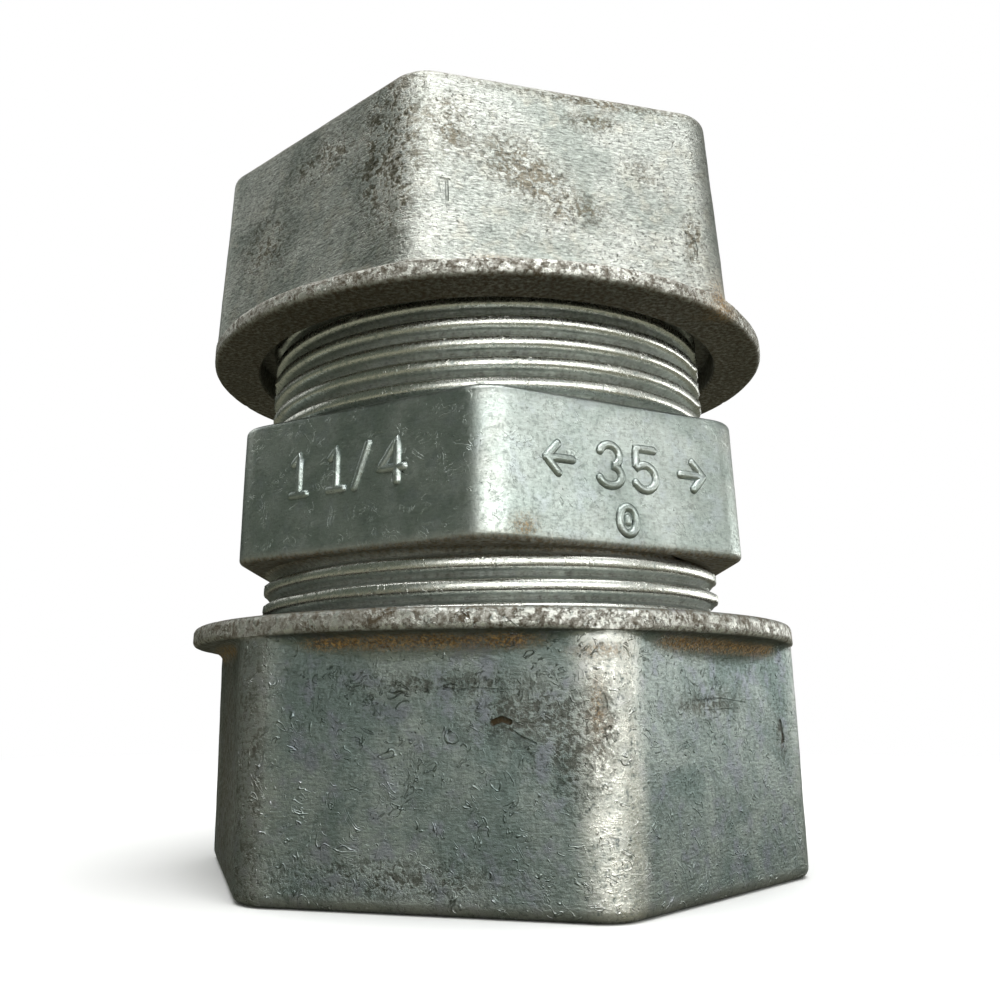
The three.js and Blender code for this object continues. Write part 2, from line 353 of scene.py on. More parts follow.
def nut_outside(name, turn):
    """The outside of a nut from its end face at height 0 to its flange face at NUT_LENGTH."""
    hex_length = NUT_LENGTH - FLANGE_THICKNESS

    def outline(height, inset=0.0):
        return hexagon(
            nut_apothem(height) - inset, NUT_CORNER_RADIUS - inset, turn, NUT_FLAT_STEPS, NUT_CORNER_STEPS
        )

    def level(points, heights):
        return np.column_stack([points, np.broadcast_to(heights, len(points))])

    rings = [level(outline(0, NUT_END_ROUND) * share, 0.0) for share in END_FACE_SHARES]
    for sine, cosine in quarter_turn(NUT_ROUND_STEPS):
        height = NUT_END_ROUND * (1 - cosine)
        rings.append(level(outline(height, NUT_END_ROUND * (1 - sine)), height))

    at_flange = outline(hex_length)
    reach = np.linalg.norm(at_flange, axis=1)
    outward = at_flange / reach[:, None]
    room = FLANGE_RADIUS - reach
    fillet = np.minimum(FLANGE_FILLET, room * 0.62)
    edge = np.minimum(FLANGE_ROUND, room * 0.3)
    wall_top = hex_length - fillet
    for row in range(1, NUT_WALL_ROWS + 1):
        heights = NUT_END_ROUND + (wall_top - NUT_END_ROUND) * row / NUT_WALL_ROWS
        share = (heights / NUT_LENGTH)[:, None]
        rings.append(level(outline(0) * (1 - share) + outline(NUT_LENGTH) * share, heights))
    for sine, cosine in quarter_turn(NUT_ROUND_STEPS, 1):
        out = reach + fillet * (1 - cosine)
        rings.append(level(outward * out[:, None], wall_top + fillet * sine))
    for sine, cosine in quarter_turn(NUT_ROUND_STEPS):
        out = FLANGE_RADIUS - edge * (1 - sine)
        rings.append(level(outward * out[:, None], hex_length + edge * (1 - cosine)))
    for sine, cosine in quarter_turn(NUT_ROUND_STEPS):
        out = FLANGE_RADIUS - FLANGE_ROUND * (1 - cosine)
        rings.append(level(outward * out, NUT_LENGTH - FLANGE_ROUND * (1 - sine)))
    rings += [level(outward * radius, NUT_LENGTH) for radius in MOUTH_FACE_RADII]
    return loft(name, rings)


def roughened(positions, seed):
    """Cast skin: slow waves and small dents everywhere, and a battered flange rim."""
    waves = 0.045 * noise_field(positions, 7.0, seed) + 0.018 * noise_field(positions, 1.6, seed + 1, 3)
    reach = radii(positions)
    rim = smooth_step(FLANGE_RADIUS - 1.2, FLANGE_RADIUS - 0.4, reach)
    rim *= smooth_step(NUT_LENGTH - FLANGE_THICKNESS - 0.6, NUT_LENGTH - FLANGE_THICKNESS, positions[:, 2])
    chips = smooth_step(0.35, 0.9, noise_field(positions, 1.1, seed + 2, 3))
    return pushed_out(positions, waves - rim * 0.22 * chips)


def nut_hollow(name):
    """The hole, cone seat, relief, thread bore and open mouth of a nut, from its end face on."""
    thread_root = CREST_RADIUS + THREAD_CLEARANCE
    thread_crest = ROOT_RADIUS + THREAD_CLEARANCE
    return turned(name, [
        (SOCKET_RADIUS + 0.45, -1.0),
        (SOCKET_RADIUS + 0.45, 0.0),
        (SOCKET_RADIUS + 0.13, 0.13),
        (SOCKET_RADIUS, 0.45),
        (SOCKET_RADIUS, NUT_HOLE_DEPTH),
        (NUT_SEAT_RADIUS, NUT_SEAT_DEPTH),
        (thread_root, NUT_RELIEF_START),
        (thread_root, NUT_RELIEF_END),
        (thread_crest, NUT_RELIEF_END + 0.1),
        (thread_crest, NUT_LENGTH - NUT_MOUTH_DEPTH),
        (NUT_MOUTH_RADIUS - NUT_MOUTH_TAPER, NUT_LENGTH - NUT_MOUTH_DEPTH),
        (NUT_MOUTH_RADIUS - 0.05, NUT_LENGTH - 0.2),
        (NUT_MOUTH_RADIUS + 0.1, NUT_LENGTH),
        (NUT_MOUTH_RADIUS + 0.2, NUT_LENGTH + 1),
    ])


def compression_nut(name, turn, upside_down, seed, scars):
    """A nut's roughened outside, less its scars, hollow and thread."""
    nut = nut_outside(name, -turn if upside_down else turn)
    set_vertex_array(nut, roughened(vertex_array(nut), seed))
    hollow = nut_hollow(name + "_hollow")
    for shape in (nut, hollow):
        if upside_down:
            flip(shape)
    for index, scar in enumerate(scars):
        cutter = scar_solid(f"{name}_scar_{index}", turn, upside_down, scar)
        combine(nut, cutter, "DIFFERENCE")
    combine(nut, hollow, "DIFFERENCE")
    bottom, top = NUT_THREAD_START, NUT_LENGTH + PITCH
    if upside_down:
        bottom, top = OVERALL_LENGTH - NUT_LENGTH - PITCH, OVERALL_LENGTH - NUT_THREAD_START - PITCH
    thread = threaded_rod(name + "_thread", bottom, top, THREAD_CLEARANCE, NUT_THREAD_STEPS)
    combine(nut, thread, "DIFFERENCE")
    shade_smooth(nut, 32)
    return nut


# How much farther out the rounded corners are than the flats.
CORNER_BEYOND_FLATS = (NUT_APOTHEM_AT_FLANGE - NUT_CORNER_RADIUS) * (1 / math.cos(TURN / 12) - 1)

# A gouge, scratch or pit: the side of the nut before its turn, how far across and up it starts, its
# length and half width, its line in shares of its length, and how far its side is beyond the flats.
Scar = namedtuple("Scar", "side at length width line beyond", defaults=(0.0,))
UPPER_SCARS = (
    Scar(RIGHT_FLAT, at=(-11.2, 52.6), length=2.1, width=0.12, line=((-0.25, 1.0), (0.25, 0.98))),
    Scar(RIGHT_FLAT, at=(-11.2, 52.6), length=2.1, width=0.1, line=((-0.2, 1.0), (-0.14, 0.4))),
    Scar(RIGHT_FLAT, at=(-11.2, 52.6), length=2.1, width=0.16, line=((0.14, 0.95), (0.16, 0.05))),
    Scar(RIGHT_FLAT, at=(10.9, 50.0), length=14.6, width=0.06, line=((0.0, 0.0), (0.02, 0.5), (0.055, 1.0))),
    Scar(RIGHT_FLAT, at=(11.4, 50.3), length=1.8, width=0.2, line=((0.0, 0.0), (0.12, 0.5), (0.02, 1.0))),
    Scar(RIGHT_FLAT, at=(10.7, 51.6), length=1.2, width=0.11, line=((0.0, 0.0), (0.0, 1.0))),
)
LOWER_SCARS = (
    Scar(RIGHT_FLAT, at=(9.6, 10.4), length=1.9, width=0.2, line=((0.0, 0.0), (0.1, 0.45), (-0.06, 1.0))),
    Scar(RIGHT_FLAT, at=(9.3, 9.6), length=1.0, width=0.12, line=((0.0, 0.0), (0.3, 1.0))),
    Scar(RIGHT_FLAT, at=(-4.4, 13.9), length=8.0, width=0.05, line=((0.0, 0.0), (0.5, 0.025), (1.0, -0.01))),
    Scar(RIGHT_FLAT, at=(-3.1, 13.2), length=5.5, width=0.05, line=((0.0, 0.0), (1.0, 0.03))),
    Scar(RIGHT_FLAT, at=(-4.9, 12.5), length=4.0, width=0.04, line=((0.0, 0.0), (1.0, 0.04))),
    Scar(LEFT_FLAT, at=(5.2, 12.4), length=1.3, width=0.24, line=((0.0, 0.0), (0.5, 0.2), (0.9, 0.05))),
    Scar(LEFT_FLAT, at=(6.4, 12.0), length=1.6, width=0.12, line=((0.0, 0.0), (0.5, -0.35), (1.1, -0.6))),
    Scar(LEFT_FLAT, at=(1.8, 14.6), length=4.2, width=0.05, line=((0.0, 0.0), (0.6, 0.03), (1.0, 0.0))),
    Scar(NEAR_CORNER, at=(-0.9, 12.9), length=1.3, width=0.2,
         line=((0.0, 0.0), (0.2, 0.5), (0.05, 1.0)), beyond=CORNER_BEYOND_FLATS),
    Scar(NEAR_CORNER, at=(-0.6, 10.9), length=1.2, width=0.17,
         line=((0.0, 0.0), (-0.2, 0.5), (0.15, 1.0)), beyond=CORNER_BEYOND_FLATS),
    Scar(NEAR_CORNER, at=(-1.0, 14.8), length=1.0, width=0.14,
         line=((0.0, 0.0), (0.4, 0.8)), beyond=CORNER_BEYOND_FLATS),
)


def scar_solid(name, turn, upside_down, scar):
    """A bent round-ended tube half sunk in a nut's side, for cutting a scar."""
    across, height = scar.at
    depth = OVERALL_LENGTH - height if upside_down else height
    place = face_placer(scar.side + turn, nut_apothem(depth) + scar.beyond, across, height)
    return stroke_solid(name, scar.line, place, scar.length, scar.width, 0.0)


def flip(shape):
    """Turns a piece upside down about the X axis, onto the upper end of the coupling."""
    positions = vertex_array(shape)
    set_vertex_array(shape, positions * np.array([1, -1, -1]) + np.array([0, 0, OVERALL_LENGTH]))


# -------- body

BODY_FLAT_STEPS = 44
BODY_CORNER_STEPS = 14
BODY_WALL_ROWS = 30
BODY_ROUND_STEPS = 5
BODY_THREAD_STEPS = 200


def body_hexagon(name):
    """The solid hexagon in the middle of the body, with rounded edges."""
    def ring(height, inset):
        points = hexagon(
            BODY_APOTHEM - inset, BODY_CORNER_RADIUS - inset, 0.0, BODY_FLAT_STEPS, BODY_CORNER_STEPS
        )
        return np.column_stack([points, np.full(len(points), height)])

    edge = [
        (BODY_EDGE_ROUND * (1 - cosine), BODY_EDGE_ROUND * (1 - sine))
        for sine, cosine in quarter_turn(BODY_ROUND_STEPS)
    ]
    rings = [ring(BODY_HEX_BOTTOM + up, inset) for up, inset in edge]
    wall = BODY_HEX_LENGTH - 2 * BODY_EDGE_ROUND
    for row in range(1, BODY_WALL_ROWS):
        rings.append(ring(BODY_HEX_BOTTOM + BODY_EDGE_ROUND + wall * row / BODY_WALL_ROWS, 0.0))
    rings += [ring(BODY_HEX_TOP - up, inset) for up, inset in reversed(edge)]
    return loft(name, rings)


def coupling_body(name):
    """The threads, tapered at both ends, joined to the hexagon and its marks, less the bore."""
    bottom, top = body_low.z, body_high.z
    stop_bottom, stop_top = BODY_MIDDLE - STOP_LENGTH / 2, BODY_MIDDLE + STOP_LENGTH / 2
    threads = threaded_rod(
        name, bottom - 2 * PITCH, top + 2 * PITCH, growth=0.0, steps=BODY_THREAD_STEPS,
        crest=0.42, root=0.08, flats=True,
    )
    envelope = turned(name + "_envelope", [
        (ROOT_RADIUS - 0.1, bottom),
        (ROOT_RADIUS + 0.1, bottom + 0.1),
        (CREST_RADIUS + 0.4, bottom + BODY_THREAD_TAPER),
        (CREST_RADIUS + 0.4, top - BODY_THREAD_TAPER),
        (ROOT_RADIUS + 0.1, top - 0.1),
        (ROOT_RADIUS - 0.1, top),
    ])
    combine(threads, envelope, "INTERSECT")
    middle = body_hexagon(name + "_hexagon")
    set_vertex_array(middle, roughened_body(vertex_array(middle)))
    combine(threads, middle, "UNION")
    for mark in marks():
        combine(threads, mark, "UNION")
    bore = turned(name + "_bore", [
        (MOUTH_RADIUS, bottom - 1),
        (MOUTH_RADIUS, bottom),
        (SOCKET_RADIUS, bottom + MOUTH_TAPER_LENGTH),
        (SOCKET_RADIUS, stop_bottom - STOP_BEVEL),
        (SOCKET_RADIUS - STOP_BEVEL, stop_bottom),
        (CONDUIT_INSIDE_RADIUS + STOP_BEVEL, stop_bottom),
        (CONDUIT_INSIDE_RADIUS, stop_bottom + STOP_BEVEL),
        (CONDUIT_INSIDE_RADIUS, stop_top - STOP_BEVEL),
        (CONDUIT_INSIDE_RADIUS + STOP_BEVEL, stop_top),
        (SOCKET_RADIUS - STOP_BEVEL, stop_top),
        (SOCKET_RADIUS, stop_top + STOP_BEVEL),
        (SOCKET_RADIUS, top - MOUTH_TAPER_LENGTH),
        (MOUTH_RADIUS, top),
        (MOUTH_RADIUS, top + 1),
    ])
    combine(threads, bore, "DIFFERENCE")
    shade_smooth(threads, 38)
    return threads


def roughened_body(positions):
    """The body's cast skin, smoother than the nuts'."""
    waves = 0.03 * noise_field(positions, 8.0, 31) + 0.008 * noise_field(positions, 1.8, 32)
    return pushed_out(positions, waves)


# -------- raised marks on the body

MARK_HEIGHT = 3.4
MARK_STROKE = 0.42
MARK_SINK = 0.13
STROKE_SIDES = 12
STROKE_STEP = 0.35
# A stroke's round end: how far out each loop lies and its size, in shares of the stroke's half width.
ROUND_END = ((0.98, 0.2), (0.8, 0.62), (0.45, 0.92))


def arc(centre_x, centre_y, radius_x, radius_y, start, end, steps=14):
    """Points along an arc, from start to end in degrees."""
    angles = np.radians(np.linspace(start, end, steps))
    return [(centre_x + radius_x * math.cos(a), centre_y + radius_y * math.sin(a)) for a in angles]


GLYPH_ONE = [[(-0.18, 0.8), (0.0, 1.0), (0.0, 0.0)], [(-0.22, 0.0), (0.22, 0.0)]]
GLYPH_FOUR = [[(0.17, 0.0), (0.17, 1.0), (-0.34, 0.32), (0.36, 0.32)]]
GLYPH_SLASH = [[(-0.2, -0.02), (0.2, 1.02)]]
GLYPH_THREE = [arc(0.0, 0.74, 0.29, 0.26, 160, -75) + arc(0.0, 0.25, 0.33, 0.25, 80, -160)]
GLYPH_FIVE = [[(0.3, 1.0), (-0.24, 1.0), (-0.26, 0.56)] + arc(0.0, 0.3, 0.33, 0.31, 135, -150)]
GLYPH_ARROW = [[(-0.36, 0.5), (0.36, 0.5)], [(-0.04, 0.84), (-0.36, 0.5), (-0.04, 0.16)]]
GLYPH_RING = [arc(0.0, 0.0, 0.25, 0.32, 0, 360, 25), [(0.0, -0.04), (0.0, 0.04)]]


def mirrored(glyph):
    return [[(-x, y) for x, y in stroke] for stroke in glyph]


def stroke_solid(name, points, place, scale, width, sink):
    """A round-ended tube of radius width along the points, which place puts on a face, sunk in by sink."""
    fine = [np.array(points[0])]
    for here, there in zip(points, points[1:]):
        here, there = np.array(here), np.array(there)
        pieces = max(1, int(np.linalg.norm(there - here) * scale / STROKE_STEP))
        fine += [here + (there - here) * part / pieces for part in range(1, pieces + 1)]
    path = np.array(fine) * scale
    along = np.gradient(path, axis=0)
    along /= np.maximum(np.linalg.norm(along, axis=1), 1e-9)[:, None]
    around = np.arange(STROKE_SIDES) / STROKE_SIDES * TURN
    stations = [(path[0] - along[0] * width * out, along[0], size) for out, size in ROUND_END]
    stations += [(point, way, 1.0) for point, way in zip(path, along)]
    stations += [(path[-1] + along[-1] * width * out, along[-1], size) for out, size in ROUND_END[::-1]]
    rings = []
    for point, way, size in stations:
        across = np.array([-way[1], way[0]])
        radius = width * size
        flat = point + np.outer(np.cos(around) * radius, across)
        rings.append(place(flat[:, 0], flat[:, 1], np.sin(around) * radius - sink))
    return loft(name, rings)


def face_axes(facing):
    """The outward and the sideways direction of an upright face."""
    outward = np.array([math.cos(facing), math.sin(facing), 0.0])
    return outward, np.array([-math.sin(facing), math.cos(facing), 0.0])


def face_placer(facing, distance, across, height):
    """Turns flat coordinates into points on an upright face, from a point across it and up it."""
    normal, sideways = face_axes(facing)
    origin = normal * distance + sideways * across + np.array([0, 0, height])

    def place(x, y, out):
        return origin + np.outer(x, sideways) + np.outer(out, normal) + np.outer(y, [0, 0, 1])

    return place


def marks():
    """Plain size marks: the trade size 1 1/4 on one face, the metric size 35 between arrows on the next."""
    solids = []

    def write(name, glyphs, facing, base):
        for index, (glyph, middle) in enumerate(glyphs):
            place = face_placer(facing, BODY_APOTHEM, middle, BODY_MIDDLE + base)
            for number, stroke in enumerate(glyph):
                title = f"{name}_{index}_{number}"
                solids.append(stroke_solid(title, stroke, place, MARK_HEIGHT, MARK_STROKE, MARK_SINK))

    trade_size = [(GLYPH_ONE, -5.7), (GLYPH_ONE, -1.7), (GLYPH_SLASH, 0.9), (GLYPH_FOUR, 3.9)]
    metric_size = [(GLYPH_THREE, -1.2), (GLYPH_FIVE, 2.3)]
    arrows = [(GLYPH_ARROW, -6.1), (mirrored(GLYPH_ARROW), 7.3)]
    write("trade_size", trade_size, LEFT_FLAT, -0.85)
    write("metric_size", metric_size + arrows, RIGHT_FLAT, -1.1)
    write("cavity_mark", [(GLYPH_RING, 0.3)], RIGHT_FLAT, -3.8)
    return solids


# -------- rings

def compression_ring(name, upside_down):
    """A split ring, bevelled at its seat end and its mouth end, with the split on the +Y side."""
    start, end = ring_low.z, ring_high.z
    outside = turned(name, [
        (RING_EDGE_RADIUS - 0.06, start),
        (RING_EDGE_RADIUS, start + 0.06),
        (RING_OUTSIDE_RADIUS - 0.05, start + RING_SEAT_BEVEL - 0.15),
        (RING_OUTSIDE_RADIUS, start + RING_SEAT_BEVEL),
        (RING_OUTSIDE_RADIUS, end - RING_MOUTH_BEVEL),
        (RING_OUTSIDE_RADIUS - 0.05, end - RING_MOUTH_BEVEL + 0.15),
        (RING_EDGE_RADIUS, end - 0.06),
        (RING_EDGE_RADIUS - 0.06, end),
    ])
    inside = turned(name + "_inside", [
        (RING_INSIDE_RADIUS + 0.1, start - 1),
        (RING_INSIDE_RADIUS + 0.1, start),
        (RING_INSIDE_RADIUS, start + 0.15),
        (RING_INSIDE_RADIUS, end - 0.15),
        (RING_INSIDE_RADIUS + 0.1, end),
        (RING_INSIDE_RADIUS + 0.1, end + 1),
    ])
    combine(outside, inside, "DIFFERENCE")
    half = RING_GAP / 2
    side = -1 if upside_down else 1
    near, far = 10 * side, (RING_OUTSIDE_RADIUS + 2) * side
    corners = np.array([(-half, near), (half, near), (half, far), (-half, far)])
    if upside_down:
        corners = corners[::-1]
    cut = loft(name + "_split", [
        np.column_stack([corners, np.full(4, start - 1)]),
        np.column_stack([corners, np.full(4, end + 1)]),
    ])
    combine(outside, cut, "DIFFERENCE")
    if upside_down:
        flip(outside)
    shade_smooth(outside, 25)
    return outside


# -------- materials

class Nodes:
    """Short calls for adding linked shader nodes."""

    def __init__(self, owner, kind="Material"):
        owner.use_nodes = True
        self.tree = owner.node_tree
        self.tree.nodes.clear()
        self.output = self.node("Output" + kind)

    def node(self, kind):
        return self.tree.nodes.new("ShaderNode" + kind)

    def add(self, kind, **inputs):
        return self.fill(self.node(kind), {key.replace("_", " "): inputs[key] for key in inputs})

    def put(self, socket, value):
        if isinstance(value, bpy.types.NodeSocket):
            self.tree.links.new(value, socket)
        else:
            socket.default_value = value

    def fill(self, node, values):
        for key, value in values.items():
            self.put(node.inputs[key], value)
        return node

    def math(self, operation, one, two=0.0, clamp=False):
        node = self.node("Math")
        node.operation = operation
        node.use_clamp = clamp
        return self.fill(node, {0: one, 1: two}).outputs[0]

    def times(self, one, two, clamp=False):
        return self.math("MULTIPLY", one, two, clamp)

    def between(self, value, low, high, to_low=0.0, to_high=1.0):
        node = self.node("MapRange")
        node.interpolation_type = "SMOOTHSTEP"
        limits = {"From Min": low, "From Max": high, "To Min": to_low, "To Max": to_high}
        return self.fill(node, {"Value": value, **limits}).outputs["Result"]

    def mix(self, share, one, two, blend="MIX"):
        node = self.node("Mix")
        node.data_type = "RGBA"
        node.blend_type = blend
        return self.fill(node, {0: share, 6: one, 7: two}).outputs[2]

    def shader_mix(self, share, one, two):
        return self.fill(self.node("MixShader"), {0: share, 1: one, 2: two}).outputs[0]

    def noise(self, vector, scale, detail=3.0, roughness=0.55, distortion=0.0):
        node = self.add(
            "TexNoise", Vector=vector, Scale=scale, Detail=detail, Roughness=roughness,
            Distortion=distortion,
        )
        return node.outputs["Fac"]

    def stretched(self, vector, scale, shift=(0, 0, 0)):
        node = self.node("Mapping")
        self.put(node.inputs["Vector"], vector)
        node.inputs["Scale"].default_value = scale
        node.inputs["Location"].default_value = shift
        return node.outputs["Vector"]

    def millimetres(self, shift=(0, 0, 0)):
        """Where each point of the surface is, in millimetres."""
        return self.stretched(self.add("TexCoord").outputs["Object"], (1000, 1000, 1000), shift)

    def surface(self, shader):
        self.tree.links.new(shader, self.output.inputs["Surface"])

    def attribute(self, name):
        node = self.node("Attribute")
        node.attribute_name = name
        return node.outputs["Fac"]


def grey(value):
    return (value, value, value, 1)


def flow_wrinkles(n, mm):
    """Thin worm-like ridges where the metal's flow fronts met, broken into short pieces."""
    field = n.noise(mm, 0.5, 2.0, 0.5, 1.6)
    lines = n.math("PINGPONG", n.times(field, 5.0), 0.5)
    ridge = n.between(lines, 0.0, 0.11, 1.0, 0.0)
    return n.times(ridge, n.between(n.noise(mm, 0.7, 2.0), 0.51, 0.6))


def darkened(n, colour, share):
    return n.mix(1.0, colour, grey(share), "MULTIPLY")


# Worn zinc, also used as a painted highlight on the near nut corners and the thread crests.
WORN_AND_SHEEN_ZINC = (0.80, 0.80, 0.75, 1)
PIT_COLOUR = (0.03, 0.03, 0.022, 1)
# Dirt, also used as painted shade in recesses, on the mouth faces and on the far-left side.
DIRT_AND_SHADE_COLOUR = (0.062, 0.042, 0.019, 1)
RUST_DARK, RUST_LIGHT = (0.16, 0.085, 0.025, 1), (0.52, 0.32, 0.12, 1)
# How bright a grazing reflection stays, and how deep the bumps are in metres.
EDGE_TINT = 0.45
ZINC_BUMP = 0.00012

Noises = namedtuple("Noises", "clouds blotches grain dashes pits ridges")


def cast_noises(n, mm):
    """The patterns that the zinc's colour and relief share."""
    return Noises(
        clouds=n.noise(mm, 0.15, 4.0, 0.6, 0.6),
        blotches=n.noise(mm, 0.6, 4.0, 0.6),
        grain=n.noise(mm, 2.4, 6.0, 0.7),
        dashes=n.noise(n.stretched(mm, (1.7, 1.7, 6.0)), 1.0, 4.0, 0.65),
        pits=n.noise(mm, 3.6, 3.0, 0.6),
        ridges=flow_wrinkles(n, mm),
    )


def clean_zinc(n, noises, dark, light, tint, wrinkles, streaks):
    """The clouded colour of the cast skin, before wear and dirt."""
    grain, dashes = noises.grain, noises.dashes
    base = n.mix(n.between(noises.clouds, 0.36, 0.64), dark, light)
    base = n.mix(n.between(noises.blotches, 0.5, 0.68, 0.0, 0.6), base, tint)
    base = n.mix(n.between(grain, 0.38, 0.5, 0.6, 0.0), base, darkened(n, base, 0.62))
    base = n.mix(n.between(dashes, 0.36, 0.5, streaks, 0.0), base, darkened(n, base, 0.42))
    base = n.mix(n.between(dashes, 0.52, 0.66, 0.0, streaks), base, darkened(n, base, 1.5))
    return n.mix(n.times(noises.ridges, wrinkles * 0.35), base, darkened(n, base, 1.6))


def zinc(name, colours, roughness, skin, wrinkles, streaks, pitting, shift):
    """Die-cast zinc with cloudy patina, pits, flow wrinkles, worn edges, dirt, stains and rust dust, plus
    painted shade and painted highlights.

    colours are dark, light, tint and what a stain multiplies them by. skin, wrinkles, streaks and
    pitting say how strongly the cast skin, the flow wrinkles, the level streaks and the pits show.
    shift moves the whole pattern. Wear with painted highlights, dirt with painted shade, stain and rust come
    from the mesh.
    """
    dark, light, tint, stain_tint = colours
    material = bpy.data.materials.new(name)
    n = Nodes(material)
    mm = n.millimetres(shift)
    wear_and_sheen, dirt_and_shade = n.attribute("wear_and_sheen"), n.attribute("dirt_and_shade")
    rust, stain = n.attribute("rust"), n.attribute("stain")

    noises = cast_noises(n, mm)
    clouds, blotches, grain, dashes, pits, ridges = noises
    base = clean_zinc(n, noises, dark, light, tint, wrinkles, streaks)

    # Worn patches, partly a painted highlight on the near corners and thread crests.
    worn_and_sheen = n.times(wear_and_sheen, n.between(grain, 0.3, 0.5), True)
    base = n.mix(worn_and_sheen, base, WORN_AND_SHEEN_ZINC)
    patch = n.between(clouds, 0.4, 0.6, 0.3, 1.0)
    specks = n.times(n.between(pits, 0.28 + 0.1 * pitting, 0.28), patch)
    base = n.mix(n.times(specks, 0.7), base, PIT_COLOUR)
    mottle = n.math("ADD", n.times(grain, 0.6), n.times(blotches, 0.4))
    stained = n.times(stain, n.between(mottle, 0.56, 0.42, 0.0, 1.3), True)
    base = n.mix(n.times(stained, 0.75), base, n.mix(1.0, base, stain_tint, "MULTIPLY"))
    # Dirt mixed with painted shade.
    grime_and_shade = n.times(dirt_and_shade, n.between(grain, 0.66, 0.4, 0.5, 1.0), True)
    flakes = n.times(wear_and_sheen, n.between(n.noise(mm, 1.3, 6.0, 0.75), 0.49, 0.55), True)
    grime_and_shade = n.times(grime_and_shade, n.math("SUBTRACT", 1.0, flakes))
    base = n.mix(grime_and_shade, base, DIRT_AND_SHADE_COLOUR)
    dust = n.times(rust, n.between(n.noise(mm, 6.0, 5.0, 0.8), 0.42, 0.56), True)
    base = n.mix(dust, base, n.mix(n.between(pits, 0.4, 0.62), RUST_DARK, RUST_LIGHT))

    dull = n.math("MAXIMUM", grime_and_shade, dust)
    metal = n.math("SUBTRACT", 1.0, n.times(dull, 0.9))
    rough = n.between(grain, 0.3, 0.7, roughness + 0.07, roughness - 0.06)
    rough = n.math("ADD", rough, n.times(dull, 0.3))
    rough = n.math("SUBTRACT", rough, n.times(worn_and_sheen, 0.08))

    height = n.times(ridges, wrinkles * 1.5)
    for relief, share in ((grain, 0.5), (dashes, streaks), (specks, -0.4), (stained, -0.3), (dull, 0.3)):
        height = n.math("ADD", height, n.times(relief, share))
    bump = n.add("Bump", Height=height)
    bump.inputs["Strength"].default_value = skin
    bump.inputs["Distance"].default_value = ZINC_BUMP

    shader = n.add(
        "BsdfPrincipled", Base_Color=base, Metallic=metal, Roughness=rough, Normal=bump.outputs[0]
    )
    shader.inputs["Specular Tint"].default_value = grey(EDGE_TINT)
    n.surface(shader.outputs[0])
    return material


STEEL_BUMP = 0.00003


def steel(name):
    """Plated spring steel with fine turning lines."""
    material = bpy.data.materials.new(name)
    n = Nodes(material)
    mm = n.millimetres()
    lines = n.noise(n.stretched(mm, (0.15, 0.15, 9.0)), 1.0, 3.0)
    stains = n.noise(mm, 0.5, 4.0)
    base = n.mix(n.between(stains, 0.4, 0.65), (0.42, 0.42, 0.41, 1), (0.30, 0.28, 0.24, 1))
    rough = n.between(lines, 0.3, 0.7, 0.28, 0.42)
    bump = n.add("Bump", Height=lines)
    bump.inputs["Strength"].default_value = 0.4
    bump.inputs["Distance"].default_value = STEEL_BUMP
    shader = n.add("BsdfPrincipled", Base_Color=base, Roughness=rough, Normal=bump.outputs[0])
    shader.inputs["Metallic"].default_value = 1.0
    n.surface(shader.outputs[0])
    return material


# -------- wear, dirt and rust on the meshes, with painted shade and painted highlights

def store(piece, name, values):
    """Keeps a value from 0 to 1 for each vertex, for the material to read."""
    layer = piece.data.attributes.new(name, "FLOAT", "POINT")
    layer.data.foreach_set("value", np.clip(values, 0, 1).astype(np.float32))


def corner_distance(positions, turn):
    """How far round, in radians, each point is from the hexagon's nearest corner."""
    angle = np.arctan2(positions[:, 1], positions[:, 0]) + math.pi / 2 - turn
    sixth = TURN / HEX_SIDES
    return np.abs((angle + sixth / 2) % sixth - sixth / 2)


def blob(positions, facing, distance, at, half_size):
    """A soft patch on an upright face: 1 at its middle, fading to 0 at about twice its half size."""
    normal, sideways = face_axes(facing)
    on_face = smooth_step(distance - 1.5, distance - 0.8, positions @ normal)
    off_across = (positions @ sideways - at[0]) / half_size[0]
    off_height = (positions[:, 2] - at[1]) / half_size[1]
    return on_face * np.exp(-0.7 * (off_across ** 2 + off_height ** 2))


# A stained or rusty patch: the side of the nut before its turn, how far its middle is across and up,
# and half its size.
Patch = namedtuple("Patch", "side at half_size")
UPPER_STAINS = (
    Patch(RIGHT_FLAT, at=(-5.6, 57.6), half_size=(2.4, 1.9)),
    Patch(RIGHT_FLAT, at=(-2.6, 55.4), half_size=(2.4, 1.7)),
    Patch(RIGHT_FLAT, at=(0.8, 53.2), half_size=(2.2, 1.2)),
    Patch(RIGHT_FLAT, at=(-10.6, 60.0), half_size=(1.3, 2.4)),
    Patch(RIGHT_FLAT, at=(2.6, 62.6), half_size=(2.2, 0.8)),
    Patch(RIGHT_FLAT, at=(6.7, 58.0), half_size=(1.4, 0.9)),
    Patch(RIGHT_FLAT, at=(3.0, 64.7), half_size=(7.5, 0.5)),
    Patch(RIGHT_FLAT, at=(11.4, 52.0), half_size=(0.8, 2.4)),
    Patch(LEFT_FLAT, at=(9.5, 58.0), half_size=(2.2, 6.0)),
    Patch(LEFT_FLAT, at=(12.3, 58.0), half_size=(1.7, 7.0)),
    Patch(LEFT_FLAT, at=(2.0, 61.0), half_size=(4.0, 2.0)),
    Patch(LEFT_FLAT, at=(-6.0, 55.0), half_size=(3.0, 3.0)),
)
